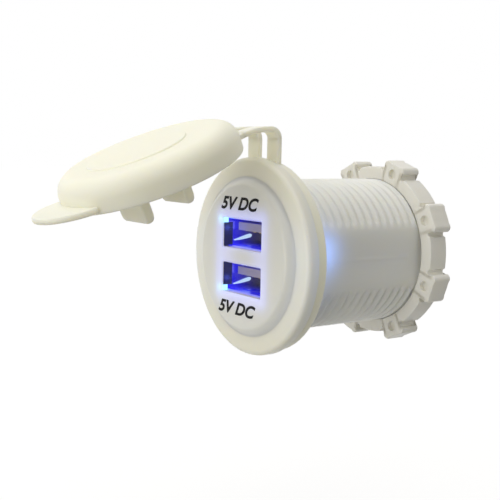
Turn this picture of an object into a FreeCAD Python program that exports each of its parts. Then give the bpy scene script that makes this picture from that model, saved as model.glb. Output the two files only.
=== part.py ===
import FreeCAD, Part
import math
import os
import re
import Sketcher
from FreeCAD import Placement, Rotation, Vector

# Dual USB socket for a panel hole, with a rubber dust cover and a ring nut.
# Millimetres. The barrel's axis is Y, the face looks along -Y and +Z is up.
# The origin is on that axis, in the plane where the cover's ring bears on the panel.
# Names that end in _y are places along the axis; the others are sizes.

DRIVING = {
    # housing: flange and threaded barrel
    "barrel_radius": 14.5,
    "barrel_wall": 2.3,
    "barrel_end_y": 32.5,
    "flat_depth": 1.08,
    "flange_reach": 4.0,
    "flange_thickness": 2.5,
    "flange_edge": 0.9,
    "rail_width": 1.0,
    "rail_height": 1.7,
    "rail_root": 0.5,
    "rail_setback": 3.0,
    # face plate
    "face_inset": 3.5,
    "face_step": 1.3,
    "face_thickness": 2.35,
    "face_edge": 1.1,
    "spigot_length": 3.1,
    "spigot_wall": 1.2,
    "slip": 0.1,
    # ports
    "port_pitch": 8.52,
    "shell_width": 13.1,
    "shell_height": 5.7,
    "shell_length": 11.6,
    "shell_sheet": 0.3,
    "shell_corner": 0.5,
    "shell_setback": 1.35,
    "shell_seat": 0.1,
    "window_side_lap": 0.35,
    "window_roof_lap": 0.05,
    "spring_width": 2.0,
    "spring_length": 5.0,
    "spring_slot": 0.4,
    "spring_spacing": 5.6,
    "spring_setback": 2.2,
    "carrier_gap": 0.75,
    "carrier_thickness": 2.5,
    "tongue_gap": 0.7,
    "tongue_thickness": 1.5,
    "tongue_setback": 1.9,
    "contact_width": 1.0,
    "contact_thickness": 0.25,
    "contact_proud": 0.15,
    "contact_setback": 0.5,
    "contact_tail": 2.0,
    # lamps beside the ports
    "lamp_width": 1.5,
    "lamp_height": 1.05,
    "lamp_setback": 0.3,
    "lamp_length": 2.65,
    "lamp_leg": 0.45,
    "lamp_leg_inset": 0.2,
    "lamp_gap": 0.05,
    # rubber dust cover
    "cover_ring_inset": 0.5,
    "cover_ring_thickness": 2.15,
    "cover_ring_slip": 0.1,
    "strap_gap": 2.6,
    "strap_width": 3.5,
    "strap_thickness": 1.03,
    "strap_setback": 0.46,
    "strap_foot": 1.0,
    "strap_run": 6.15,
    "strap_rise": 3.9,
    "bend_radius": 1.7,
    "lid_face_gap": 0.15,
    "lid_seat_gap": 0.1,
    "lid_wall": 1.15,
    "lid_thickness": 1.8,
    "lid_depth": 5.46,
    "lid_edge": 3.15,
    "open_angle": 67.2,
    "stub_sink": 1.8,
    "stub_reach": 1.0,
    "strap_level": 4.5,
    "tab_share": 0.47,
    "tab_inset": 1.3,
    "tab_thickness": 1.1,
    "tab_tilt": 6.0,
    "plug_side_gap": 1.8,
    "plug_length": 11.4,
    "plug_contact_gap": 0.25,
    "plug_root_gap": 0.25,
    "plug_tip_gap": 0.5,
    "plug_corner_share": 0.46,
    # ring nut
    "nut_setback": 6.1,
    "nut_thickness": 4.4,
    "nut_wall": 2.5,
    "nut_slip": 0.1,
    "lug_reach": 0.2,
    "lug_sink": 1.0,
    "lug_width": 5.6,
    "lug_angle": 25.0,
    "lug_edge": 0.35,
    "dimple_radius": 1.05,
    "dimple_depth": 0.9,
    "dimple_inset": 0.5,
    # rear cap and terminals
    "cap_plug": 2.5,
    "cap_rim": 1.1,
    "cap_thickness": 1.1,
    "blade_width": 6.3,
    "blade_thickness": 0.8,
    "blade_height": 7.0,
    "blade_length": 12.2,
    "blade_inner": 4.0,
    "blade_chamfer": 1.2,
    "blade_hole_radius": 0.85,
    "blade_hole_setback": 3.5,
    "blade_leg_width": 3.0,
    "blade_slot_slip": 0.1,
    # boards
    "port_board_slip": 0.4,
    "port_board_thickness": 1.2,
    "power_board_slip": 0.9,
    "power_board_setback": 1.4,
    "power_board_thickness": 1.6,
    "pin_size": 0.5,
    "pin_pitch": 2.54,
    "pin_reach": 3.2,
    "hole_slip": 0.1,
    # parts on the power board
    "core_radius": 4.0,
    "core_neck": 1.8,
    "core_height": 7.0,
    "core_flange": 1.2,
    "core_x": 4.6,
    "core_setback": 8.3,
    "winding_radius": 3.6,
    "big_can_radius": 4.0,
    "big_can_length": 11.5,
    "big_can_x": -5.4,
    "big_can_setback": 4.8,
    "small_can_radius": 2.6,
    "small_can_length": 8.0,
    "small_can_x": 5.6,
    "small_can_setback": 12.4,
    "chip_length": 4.9,
    "chip_width": 3.9,
    "chip_height": 1.5,
    "chip_setback": 7.8,
    "diode_length": 4.3,
    "diode_width": 2.6,
    "diode_height": 2.1,
    "diode_setback": 14.8,
    "lead_reach": 1.0,
    "lead_width": 0.44,
    "lead_height": 0.4,
    "lead_pitch": 1.27,
}

DERIVED = {
    "barrel_bore": "barrel_radius - barrel_wall",
    "flat_distance": "barrel_radius - flat_depth",
    "flange_radius": "barrel_radius + flange_reach",
    "flange_front_y": "-cover_ring_thickness - flange_thickness",
    "face_radius": "flange_radius - face_inset",
    "face_front_y": "flange_front_y - face_step",
    "face_back_y": "face_front_y + face_thickness",
    "spigot_end_y": "face_back_y + spigot_length",
    "window_width": "shell_width - 2 * window_side_lap",
    "window_height": "shell_height - 2 * window_roof_lap",
    "tongue_width": "shell_width - 2 * shell_sheet - 2 * tongue_gap",
    "plug_width": "window_width - 2 * plug_side_gap",
    "shell_front_y": "face_front_y + shell_setback",
    "spring_start_y": "shell_front_y + spring_setback",
    "port_board_y": "shell_front_y + shell_length",
    "board_back_y": "port_board_y + port_board_thickness",
    "carrier_front_y": "port_board_y - carrier_thickness",
    "tongue_front_y": "shell_front_y + tongue_setback",
    "contact_front_y": "tongue_front_y + contact_setback",
    "contact_end_y": "port_board_y + contact_tail",
    "lamp_front_y": "face_front_y + lamp_setback",
    "lamp_end_y": "lamp_front_y + lamp_length",
    "cover_ring_radius": "flange_radius - cover_ring_inset",
    "strap_root": "barrel_radius + strap_foot",
    "strap_back_y": "-strap_setback",
    "lid_radius": "face_radius + lid_face_gap + lid_wall",
    "lid_top_y": "flange_front_y - lid_seat_gap - lid_depth",
    "stub_root": "lid_radius - stub_sink",
    "stub_end": "lid_radius + stub_reach",
    "tab_radius": "lid_radius * tab_share",
    "tab_centre": "lid_radius - tab_inset",
    "plug_tip_y": "lid_top_y + plug_length",
    "plug_tip_height": "shell_height - 2 * shell_sheet - carrier_gap - tongue_thickness - contact_proud"
                       " - plug_contact_gap - plug_tip_gap",
    "plug_corner": "plug_tip_height * plug_corner_share",
    "nut_front_y": "barrel_end_y - nut_setback",
    "nut_back_y": "nut_front_y + nut_thickness",
    "nut_radius": "barrel_radius + nut_wall",
    "lug_root": "nut_radius - lug_sink",
    "lug_radius": "flange_radius + lug_reach",
    "dimple_circle": "nut_radius - dimple_inset",
    "cap_front_y": "barrel_end_y - cap_plug",
    "cap_rim_radius": "barrel_bore + cap_rim",
    "cap_end_y": "barrel_end_y + cap_thickness",
    "blade_start_y": "cap_front_y - blade_inner",
    "blade_tip_y": "cap_end_y + blade_length",
    "blade_hole_y": "blade_tip_y - blade_hole_setback",
    "rail_reach": "barrel_bore - rail_height",
    "rail_start_y": "port_board_y + rail_setback",
    "rail_end_y": "cap_front_y - rail_width",
    "port_board_radius": "barrel_bore - port_board_slip",
    "power_board_half": "barrel_bore - power_board_slip",
    "power_board_end_y": "cap_front_y - power_board_setback",
    "pin_end_y": "board_back_y + pin_reach",
}

SIZES = {**DRIVING, **DERIVED}
LUGS = 8
PINS = 6
# the contacts' places across a standard port, from the middle
CONTACT_PLACES = (-3.5, -1.0, 1.0, 3.5)

doc = FreeCAD.newDocument("dual_usb_socket")
sheet = doc.addObject("Spreadsheet::Sheet", "Dims")
for row, (alias, size) in enumerate(SIZES.items(), start=1):
    sheet.set(f"A{row}", alias)
    sheet.set(f"B{row}", f"={size}")
    sheet.setAlias(f"B{row}", alias)
doc.recompute()


def cell(text):
    """The expression with every named size written as a cell of the sheet."""
    return re.sub(r"[a-z][a-z_]*", lambda word: ("Dims." if word[0] in SIZES else "") + word[0], str(text))


def value(text):
    """The expression's number."""
    result = sheet.evalExpression(cell(text))
    return float(getattr(result, "Value", result))


def new_body(name):
    """An empty body whose Label names its file."""
    body = doc.addObject("PartDesign::Body", name)
    body.Label = name
    body.AllowCompound = True
    return body


def origin_feature(body, role):
    """One of the body's own origin planes or axes."""
    return next(item for item in body.Origin.OriginFeatures if item.Role == role)


def new_sketch(body, name, plane, offset="0", tilt="0"):
    """A sketch on an origin plane, moved along the plane's normal and tilted about its own first axis."""
    sketch = body.newObject("Sketcher::SketchObject", name)
    sketch.AttachmentSupport = (origin_feature(body, plane), "")
    sketch.MapMode = "FlatFace"
    sketch.AttachmentOffset = Placement(Vector(0, 0, 0), Rotation(Vector(1, 0, 0), value(tilt)))
    sketch.setExpression("AttachmentOffset.Base.z", cell(offset))
    return sketch


def add_outline(sketch, corners):
    """Closed straight-sided outline, each corner held by two bound distances from the origin."""
    first = sketch.GeometryCount
    count = len(corners)
    points = [Vector(value(across), value(along), 0) for across, along in corners]
    for number in range(count):
        sketch.addGeometry(Part.LineSegment(points[number], points[(number + 1) % count]))
    for number in range(count):
        following = first + (number + 1) % count
        sketch.addConstraint(Sketcher.Constraint("Coincident", first + number, 2, following, 1))
    for number, corner in enumerate(corners):
        for kind, text in zip(("DistanceX", "DistanceY"), corner):
            place = Sketcher.Constraint(kind, -1, 1, first + number, 1, value(text))
            index = sketch.addConstraint(place)
            sketch.setExpression(f"Constraints[{index}]", cell(text))


def add_rectangle(sketch, left, right, low, high):
    """A rectangle between four bound edges."""
    add_outline(sketch, [(left, low), (right, low), (right, high), (left, high)])


def add_circle(sketch, across, along, radius):
    """A circle with a bound centre and radius."""
    centre = Vector(value(across), value(along), 0)
    circle = sketch.addGeometry(Part.Circle(centre, Vector(0, 0, 1), value(radius)))
    for kind, text in (("DistanceX", across), ("DistanceY", along)):
        index = sketch.addConstraint(Sketcher.Constraint(kind, -1, 1, circle, 3, value(text)))
        sketch.setExpression(f"Constraints[{index}]", cell(text))
    index = sketch.addConstraint(Sketcher.Constraint("Radius", circle, value(radius)))
    sketch.setExpression(f"Constraints[{index}]", cell(radius))


def revolve(body, name, corners, plane="XY_Plane"):
    """A turned solid: corners are radius and place along the sketch's upright axis."""
    sketch = new_sketch(body, name + "_profile", plane)
    add_outline(sketch, corners)
    turned = body.newObject("PartDesign::Revolution", name)
    turned.Profile = sketch
    turned.ReferenceAxis = (sketch, ["V_Axis"])
    turned.Angle = 360
    doc.recompute()
    return turned


def rounded(radius, along, size):
    """The front outer edge of a turned profile, rounded in three straight steps."""
    return [(f"{radius} - {size} * (1 - sin({angle}))", f"{along} + {size} * (1 - cos({angle}))")
            for angle in (0, 30, 60, 90)]


def pad(body, sketch, length, name, midplane=False):
    """Adds the sketch's outlines along its normal."""
    before = body.Shape.Volume if body.Tip else 0
    added = body.newObject("PartDesign::Pad", name)
    added.Profile = sketch
    added.setExpression("Length", cell(length))
    added.Midplane = midplane
    doc.recompute()
    if added.Shape.Volume <= before:
        raise RuntimeError(f"{body.Label}: {name} adds nothing")
    return added


def pocket(body, sketch, length, name, midplane=False):
    """Cuts the sketch's outlines out of the body, against its normal."""
    before = body.Shape.Volume
    cut = body.newObject("PartDesign::Pocket", name)
    cut.Profile = sketch
    cut.setExpression("Length", cell(length))
    cut.Midplane = midplane
    doc.recompute()
    if cut.Shape.Volume >= before:
        raise RuntimeError(f"{body.Label}: {name} cuts nothing")
    return cut


def spin(body, features, name, count):
    """Repeats features round the barrel's axis."""
    pattern = body.newObject("PartDesign::PolarPattern", name)
    pattern.Originals = features
    pattern.Axis = (origin_feature(body, "Y_Axis"), [""])
    pattern.Angle = 360
    pattern.Occurrences = count
    body.Tip = pattern
    doc.recompute()
    return pattern


def round_edges(body, size, name, wanted, kind="Fillet"):
    """Rounds or chamfers the edges of the body's tip that the test wants."""
    tip = body.Tip
    edges = [f"Edge{number}" for number, edge in enumerate(tip.Shape.Edges, start=1) if wanted(edge)]
    if not edges:
        raise RuntimeError(f"{body.Label}: {name} finds no edge")
    rounding = body.newObject(f"PartDesign::{kind}", name)
    rounding.Base = (tip, edges)
    rounding.setExpression("Radius" if kind == "Fillet" else "Size", cell(size))
    doc.recompute()
    return rounding


def box(name, low, high):
    """A plain block between two bound corners."""
    block = doc.addObject("Part::Box", name)
    block.Label = name
    for side, start, end in zip(("Length", "Width", "Height"), low, high):
        block.setExpression(side, cell(f"({end}) - ({start})"))
    for axis, start in zip("xyz", low):
        block.setExpression(f"Placement.Base.{axis}", cell(start))
    doc.recompute()
    return block


PARTS = []
PORTS = {"upper": "port_pitch / 2", "lower": "-port_pitch / 2"}

# housing
# One moulding in translucent white plastic: flange, barrel with two flats, board rails in the bore.
flange_back = "-cover_ring_thickness"
housing = new_body("housing")
revolve(housing, "housing_solid", [
    ("barrel_bore", "flange_front_y"),
    *rounded("flange_radius", "flange_front_y", "flange_edge"),
    ("flange_radius", flange_back),
    ("barrel_radius", flange_back),
    ("barrel_radius", "barrel_end_y"),
    ("barrel_bore", "barrel_end_y"),
])
flats = new_sketch(housing, "flats_outline", "XZ_Plane")
add_rectangle(flats, "flat_distance", "flange_radius", "-barrel_radius", "barrel_radius")
add_rectangle(flats, "-flange_radius", "-flat_distance", "-barrel_radius", "barrel_radius")
pocket(housing, flats, "barrel_end_y", "flats")
rails = new_sketch(housing, "rails_outline", "XZ_Plane", "-rail_end_y")
rail_low = "power_board_thickness / 2 + hole_slip"
for low, high in ((rail_low, f"{rail_low} + rail_width"), (f"-({rail_low}) - rail_width", f"-({rail_low})")):
    add_rectangle(rails, "rail_reach", "barrel_bore + rail_root", low, high)
    add_rectangle(rails, "-barrel_bore - rail_root", "-rail_reach", low, high)
pad(housing, rails, "rail_end_y - rail_start_y", "rails")
PARTS.append(housing)

# face plate
# The raised round face with both port windows. Its spigot is a push fit in the barrel's bore.
face_plate = new_body("face_plate")
revolve(face_plate, "face_solid", [
    ("0", "face_front_y"),
    *rounded("face_radius", "face_front_y", "face_edge"),
    ("face_radius", "flange_front_y"),
    ("barrel_bore - slip", "flange_front_y"),
    ("barrel_bore - slip", "spigot_end_y"),
    ("barrel_bore - slip - spigot_wall", "spigot_end_y"),
    ("barrel_bore - slip - spigot_wall", "face_back_y"),
    ("0", "face_back_y"),
])
windows = new_sketch(face_plate, "windows_outline", "XZ_Plane", "-face_front_y")
seats = new_sketch(face_plate, "seats_outline", "XZ_Plane", "-shell_front_y")
lamp_slots = new_sketch(face_plate, "lamp_slots_outline", "XZ_Plane", "-lamp_front_y")
lamp_inner = "-window_width / 2"
lamp_outer = "-window_width / 2 - lamp_width"
for middle in PORTS.values():
    add_rectangle(windows, "-window_width / 2", "window_width / 2",
                  f"{middle} - window_height / 2", f"{middle} + window_height / 2")
    add_rectangle(seats, "-shell_width / 2 - shell_seat", "shell_width / 2 + shell_seat",
                  f"{middle} - shell_height / 2 - shell_seat", f"{middle} + shell_height / 2 + shell_seat")
LAMPS = {
    "upper": ("port_pitch / 2 + window_height / 2 - lamp_height", "port_pitch / 2 + window_height / 2"),
    "lower": ("-port_pitch / 2 - window_height / 2", "-port_pitch / 2 - window_height / 2 + lamp_height"),
}
for low, high in LAMPS.values():
    add_rectangle(lamp_slots, lamp_outer, lamp_inner, low, high)
pocket(face_plate, windows, "face_back_y - face_front_y", "windows")
pocket(face_plate, seats, "face_back_y - shell_front_y", "shell_seats")
pocket(face_plate, lamp_slots, "face_back_y - lamp_front_y", "lamp_slots")
PARTS.append(face_plate)

# lamps
# A blue LED beside each port. Its nose shows in the window's outer corner; two legs run to the port board.
nose_back = "shell_front_y - lamp_gap"
lamp_side = "-shell_width / 2 - shell_seat - lamp_gap"
leg_left = f"{lamp_outer} + lamp_leg_inset"
for which, (low, high) in LAMPS.items():
    lamp = new_body(f"led_{which}")
    sketch = new_sketch(lamp, f"led_{which}_outline", "XY_Plane", low)
    add_outline(sketch, [
        (lamp_inner, "lamp_front_y"),
        (lamp_inner, nose_back),
        (lamp_side, nose_back),
        (lamp_side, "lamp_end_y"),
        (lamp_outer, "lamp_end_y"),
        (lamp_outer, "lamp_front_y"),
    ])
    pad(lamp, sketch, "lamp_height", f"led_{which}_solid")
    legs = new_sketch(lamp, f"led_{which}_legs_outline", "XZ_Plane", "-board_back_y")
    for leg in (low, f"{high} - lamp_leg"):
        add_rectangle(legs, leg_left, f"{leg_left} + lamp_leg", leg, f"{leg} + lamp_leg")
    pad(lamp, legs, "board_back_y - lamp_end_y", f"led_{which}_legs")
    PARTS.append(lamp)

# shells
# Folded steel round each port, with two contact springs cut free in its roof and two in its floor.
for which, middle in PORTS.items():
    shell = new_body(f"usb_shell_{which}")
    sketch = new_sketch(shell, f"usb_shell_{which}_outline", "XZ_Plane", "-port_board_y")
    add_rectangle(sketch, "-shell_width / 2", "shell_width / 2",
                  f"{middle} - shell_height / 2", f"{middle} + shell_height / 2")
    pad(shell, sketch, "port_board_y - shell_front_y", f"usb_shell_{which}_block")
    round_edges(shell, "shell_corner", f"usb_shell_{which}_corners",
                lambda edge: edge.Length > value("port_board_y - shell_front_y") - 1e-3
                and abs(edge.Vertexes[0].X - edge.Vertexes[-1].X) < 1e-6
                and abs(edge.Vertexes[0].Z - edge.Vertexes[-1].Z) < 1e-6)
    inside = new_sketch(shell, f"usb_shell_{which}_inside_outline", "XZ_Plane", "-shell_front_y")
    add_rectangle(inside, "shell_sheet - shell_width / 2", "shell_width / 2 - shell_sheet",
                  f"{middle} - shell_height / 2 + shell_sheet", f"{middle} + shell_height / 2 - shell_sheet")
    pocket(shell, inside, "port_board_y - shell_front_y", f"usb_shell_{which}_inside")
    slots = new_sketch(shell, f"usb_shell_{which}_slots_outline", "XY_Plane", middle)
    for side in ("-", ""):
        left = f"{side}spring_spacing / 2 - spring_width / 2"
        right = f"{side}spring_spacing / 2 + spring_width / 2"
        add_outline(slots, [
            (f"{left} - spring_slot", "spring_start_y - spring_slot"),
            (f"{right} + spring_slot", "spring_start_y - spring_slot"),
            (f"{right} + spring_slot", "spring_start_y + spring_length"),
            (right, "spring_start_y + spring_length"),
            (right, "spring_start_y"),
            (left, "spring_start_y"),
            (left, "spring_start_y + spring_length"),
            (f"{left} - spring_slot", "spring_start_y + spring_length"),
        ])
    pocket(shell, slots, "2 * shell_height", f"usb_shell_{which}_slots", midplane=True)
    PARTS.append(shell)

# contact carriers
# The black block that closes each shell behind and holds the tongue, and its four strip contacts.
inner_top = "shell_height / 2 - shell_sheet"
tongue_top = f"{inner_top} - carrier_gap"
tongue_low = f"{tongue_top} - tongue_thickness"
strip_low = f"{tongue_low} - contact_proud"
for which, middle in PORTS.items():
    carrier = new_body(f"contact_carrier_{which}")
    block = new_sketch(carrier, f"carrier_{which}_block_outline", "XZ_Plane", "-port_board_y")
    half = "(shell_width / 2 - shell_sheet)"
    add_rectangle(block, f"-{half}", half, f"{middle} - ({inner_top})", f"{middle} + {inner_top}")
    pad(carrier, block, "port_board_y - carrier_front_y", f"carrier_{which}_block")
    tongue = new_sketch(carrier, f"carrier_{which}_tongue_outline", "XZ_Plane", "-carrier_front_y")
    add_rectangle(tongue, "-tongue_width / 2", "tongue_width / 2",
                  f"{middle} + {tongue_low}", f"{middle} + {tongue_top}")
    pad(carrier, tongue, "carrier_front_y - tongue_front_y", f"carrier_{which}_tongue")
    grooves = new_sketch(carrier, f"carrier_{which}_grooves_outline", "XZ_Plane", "-contact_front_y")
    contacts = new_body(f"contacts_{which}")
    strips = new_sketch(contacts, f"contacts_{which}_outline", "XZ_Plane", "-contact_end_y")
    for place in CONTACT_PLACES:
        for sketch in (grooves, strips):
            add_rectangle(sketch, f"{place} - contact_width / 2", f"{place} + contact_width / 2",
                          f"{middle} + {strip_low}", f"{middle} + {strip_low} + contact_thickness")
    pocket(carrier, grooves, "port_board_y - contact_front_y", f"carrier_{which}_grooves")
    pad(contacts, strips, "contact_end_y - contact_front_y", f"contacts_{which}_strips")
    PARTS.extend((carrier, contacts))

# cover ring
# The part of the rubber cover that the flange holds: its ring, and the two upright straps' roots.
strap_front = "strap_back_y - strap_thickness"
strap_inner = "strap_gap / 2"
strap_outer = "strap_gap / 2 + strap_width"
strap_y_closed = "lid_top_y + strap_level"
tilt_open = "(90 - open_angle)"
path_back = "(strap_back_y - strap_thickness / 2)"
path_end_y = f"({path_back} - bend_radius - strap_run)"
path_end_z = "(flange_radius + strap_rise)"
long_radius = f"(strap_run / sin({tilt_open}))"
crest = f"({path_end_z} + {long_radius} * (1 - cos({tilt_open})))"
bend_z = f"({crest} - bend_radius)"
cover_ring = new_body("cover_ring")
revolve(cover_ring, "cover_ring_solid", [
    ("barrel_radius + cover_ring_slip", flange_back),
    ("cover_ring_radius", flange_back),
    ("cover_ring_radius", "0"),
    ("barrel_radius + cover_ring_slip", "0"),
])
roots = new_sketch(cover_ring, "strap_roots_outline", "XZ_Plane", "-strap_back_y")
add_rectangle(roots, strap_inner, strap_outer, "strap_root", bend_z)
add_rectangle(roots, f"-({strap_outer})", f"-{strap_inner}", "strap_root", bend_z)
pad(cover_ring, roots, "strap_thickness", "strap_roots")
PARTS.append(cover_ring)

# cover straps
# The bends: each strap turns forward in a tight arc, then falls in a long arc to the lid's rim.
arms = []
for which, start in (("left", f"-({strap_outer})"), ("right", strap_inner)):
    for arc, radius, centre_z, begin, sweep in (
        ("tight", "bend_radius", bend_z, 0, "90"),
        ("long", long_radius, f"({crest} - {long_radius})", 90, tilt_open),
    ):
        rounds = []
        for layer, sign in (("outer", "+"), ("inner", "-")):
            cylinder = doc.addObject("Part::Cylinder", f"strap_{which}_{arc}_{layer}")
            cylinder.setExpression("Radius", cell(f"{radius} {sign} strap_thickness / 2"))
            cylinder.setExpression("Height", cell("strap_width"))
            cylinder.setExpression("Angle", cell(sweep))
            to_x = Rotation(Vector(1, 1, 1), 120)
            cylinder.Placement = Placement(Vector(0, 0, 0), to_x.multiply(Rotation(Vector(0, 0, 1), begin)))
            cylinder.setExpression("Placement.Base.x", cell(start))
            cylinder.setExpression("Placement.Base.y", cell(f"{path_back} - bend_radius"))
            cylinder.setExpression("Placement.Base.z", cell(centre_z))
            rounds.append(cylinder)
        band = doc.addObject("Part::Cut", f"strap_{which}_{arc}")
        band.Base, band.Tool = rounds
        arms.append(band)
cover_straps = doc.addObject("Part::MultiFuse", "cover_straps")
cover_straps.Label = "cover_straps"
cover_straps.Shapes = arms
cover_straps.Refine = True
doc.recompute()
PARTS.append(cover_straps)

# cover lid
# Drawn closed over the face, then swung open about the straps' bend. Rubber: disc, skirt, thumb tab,
# two stubs that the straps join, and a plug for each port that passes below the port's tongue.
cover_lid = new_body("cover_lid")
skirt_end = "flange_front_y - lid_seat_gap"
revolve(cover_lid, "lid_puck", [
    ("0", "lid_top_y"),
    *rounded("lid_radius", "lid_top_y", "lid_edge"),
    ("lid_radius", skirt_end),
    ("0", skirt_end),
])
tab_back_y = f"({strap_y_closed} + tab_thickness / 2 + tab_centre * sin(tab_tilt))"
tab = new_sketch(cover_lid, "tab_outline", "XZ_Plane", f"-{tab_back_y}", "-tab_tilt")
add_circle(tab, "0", "-tab_centre", "tab_radius")
pad(cover_lid, tab, "tab_thickness", "tab")
stubs = new_sketch(cover_lid, "stubs_outline", "XZ_Plane", f"-({strap_y_closed} + strap_thickness / 2)")
add_rectangle(stubs, strap_inner, strap_outer, "stub_root", "stub_end")
add_rectangle(stubs, f"-({strap_outer})", f"-{strap_inner}", "stub_root", "stub_end")
pad(cover_lid, stubs, "strap_thickness", "stubs")
recess = new_sketch(cover_lid, "recess_outline", "XZ_Plane", "-lid_top_y - lid_thickness")
add_circle(recess, "0", "0", "lid_radius - lid_wall")
pocket(cover_lid, recess, "lid_depth", "recess")
for which, middle in PORTS.items():
    plug = new_sketch(cover_lid, f"plug_{which}_outline", "YZ_Plane")
    root = "lid_top_y + lid_thickness / 2"
    top = f"{middle} + {strip_low} - plug_contact_gap"
    floor = f"{middle} - ({inner_top})"
    add_outline(plug, [
        (root, f"{floor} + plug_root_gap"),
        ("plug_tip_y", f"{floor} + plug_tip_gap"),
        ("plug_tip_y", top),
        (root, top),
    ])
    pad(cover_lid, plug, "plug_width", f"plug_{which}", midplane=True)


def is_plug_corner(edge):
    """True for the four edges round a plug's tip."""
    ends = edge.Vertexes
    at_tip = all(abs(end.Y - value("plug_tip_y")) < 1e-4 for end in ends)
    at_side = all(abs(abs(end.X) - value("plug_width / 2")) < 1e-4 for end in ends)
    return len(ends) == 2 and at_tip and at_side


round_edges(cover_lid, "plug_corner", "plug_corners", is_plug_corner)
open_lid_y = value(f"{path_end_y} - stub_end * cos({tilt_open}) - strap_level * sin({tilt_open})")
open_lid_z = value(f"{path_end_z} - stub_end * sin({tilt_open}) + strap_level * cos({tilt_open})")
open_turn = math.radians(value("open_angle"))
closed_y = value("lid_top_y")
turned_y = math.cos(open_turn) * open_lid_y - math.sin(open_turn) * open_lid_z
turned_z = math.sin(open_turn) * open_lid_y + math.cos(open_turn) * open_lid_z
half_cot = 1 / math.tan(open_turn / 2)
pivot_y = ((closed_y - turned_y) - half_cot * (0 - turned_z)) / 2
pivot_z = ((0 - turned_z) + half_cot * (closed_y - turned_y)) / 2
pivot = Vector(0, pivot_y, pivot_z)
cover_lid.Placement = Placement(Vector(0, 0, 0), Rotation(Vector(1, 0, 0), -value("open_angle")), pivot)
PARTS.append(cover_lid)

# ring nut
# Castellated nut that clamps the panel against the cover's ring: eight lugs, each with a blind dimple.
ring_nut = new_body("ring_nut")
revolve(ring_nut, "nut_ring", [
    ("barrel_radius + nut_slip", "nut_front_y"),
    ("nut_radius", "nut_front_y"),
    ("nut_radius", "nut_back_y"),
    ("barrel_radius + nut_slip", "nut_back_y"),
])
lug_sketch = new_sketch(ring_nut, "lug_outline", "XZ_Plane", "-nut_back_y")
add_rectangle(lug_sketch, "lug_root", "lug_radius", "-lug_width / 2", "lug_width / 2")
lug = pad(ring_nut, lug_sketch, "nut_thickness", "lug")
lug_bevel = round_edges(ring_nut, "lug_edge", "lug_bevel",
                        lambda edge: all(abs(end.X - value("lug_radius")) < 1e-4 for end in edge.Vertexes),
                        "Chamfer")
spin(ring_nut, [lug, lug_bevel], "lugs", LUGS)
dimple_sketch = new_sketch(ring_nut, "dimple_outline", "XZ_Plane", "-nut_front_y")
add_circle(dimple_sketch, "dimple_circle", "0", "dimple_radius")
dimple = pocket(ring_nut, dimple_sketch, "dimple_depth", "dimple")
spin(ring_nut, [dimple], "dimples", LUGS)
ring_nut.Placement = Placement(Vector(0, 0, 0), Rotation(Vector(0, 1, 0), -value("lug_angle")))
PARTS.append(ring_nut)

# rear cap
# Closes the barrel behind. The two terminal blades pass through its slots.
rear_cap = new_body("rear_cap")
revolve(rear_cap, "cap_solid", [
    ("0", "cap_front_y"),
    ("barrel_bore - slip", "cap_front_y"),
    ("barrel_bore - slip", "barrel_end_y"),
    ("cap_rim_radius", "barrel_end_y"),
    ("cap_rim_radius", "cap_end_y"),
    ("0", "cap_end_y"),
])
blade_slots = new_sketch(rear_cap, "blade_slots_outline", "XZ_Plane", "-cap_front_y")
for side in ("-", ""):
    add_rectangle(blade_slots, "-blade_width / 2 - blade_slot_slip", "blade_width / 2 + blade_slot_slip",
                  f"{side}blade_height - blade_thickness / 2 - blade_slot_slip",
                  f"{side}blade_height + blade_thickness / 2 + blade_slot_slip")
pocket(rear_cap, blade_slots, "cap_end_y - cap_front_y", "blade_slots")
PARTS.append(rear_cap)

# terminals
# Brass 6.3 mm blades. The inner end is bent to the power board and soldered there.
blade_low = "blade_height - blade_thickness / 2"
for which, turn in (("positive", 0), ("negative", 180)):
    terminal = new_body(f"terminal_{which}")
    sketch = new_sketch(terminal, f"blade_{which}_outline", "XY_Plane", blade_low)
    add_outline(sketch, [
        ("-blade_width / 2", "blade_start_y"),
        ("blade_width / 2", "blade_start_y"),
        ("blade_width / 2", "blade_tip_y - blade_chamfer"),
        ("blade_width / 2 - blade_chamfer", "blade_tip_y"),
        ("-blade_width / 2 + blade_chamfer", "blade_tip_y"),
        ("-blade_width / 2", "blade_tip_y - blade_chamfer"),
    ])
    add_circle(sketch, "0", "blade_hole_y", "blade_hole_radius")
    pad(terminal, sketch, "blade_thickness", f"blade_{which}")
    leg = new_sketch(terminal, f"blade_{which}_leg_outline", "XZ_Plane", "-blade_start_y - blade_thickness")
    add_rectangle(leg, "-blade_leg_width / 2", "blade_leg_width / 2", "power_board_thickness / 2",
                  f"{blade_low} + blade_thickness / 2")
    pad(terminal, leg, "blade_thickness", f"blade_{which}_leg")
    terminal.Placement = Placement(Vector(0, 0, 0), Rotation(Vector(0, 1, 0), turn))
    PARTS.append(terminal)

# port board
# Round board across the barrel. It carries both ports and both lamps.
port_board = new_body("port_board")
disc = new_sketch(port_board, "port_board_outline", "XZ_Plane", "-board_back_y")
add_circle(disc, "0", "0", "port_board_radius")
pad(port_board, disc, "port_board_thickness", "port_board_solid")
holes = new_sketch(port_board, "port_board_holes_outline", "XZ_Plane", "-port_board_y")
for middle in PORTS.values():
    for place in CONTACT_PLACES:
        add_rectangle(holes, f"{place} - contact_width / 2 - hole_slip",
                      f"{place} + contact_width / 2 + hole_slip",
                      f"{middle} + {strip_low} - hole_slip",
                      f"{middle} + {strip_low} + contact_thickness + hole_slip")
for low, high in LAMPS.values():
    for leg in (low, f"{high} - lamp_leg"):
        add_rectangle(holes, f"{leg_left} - hole_slip", f"{leg_left} + lamp_leg + hole_slip",
                      f"{leg} - hole_slip", f"{leg} + lamp_leg + hole_slip")
pin_low = "power_board_thickness / 2"
PIN_PLACES = [f"({number} - {(PINS - 1) / 2}) * pin_pitch" for number in range(PINS)]
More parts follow.
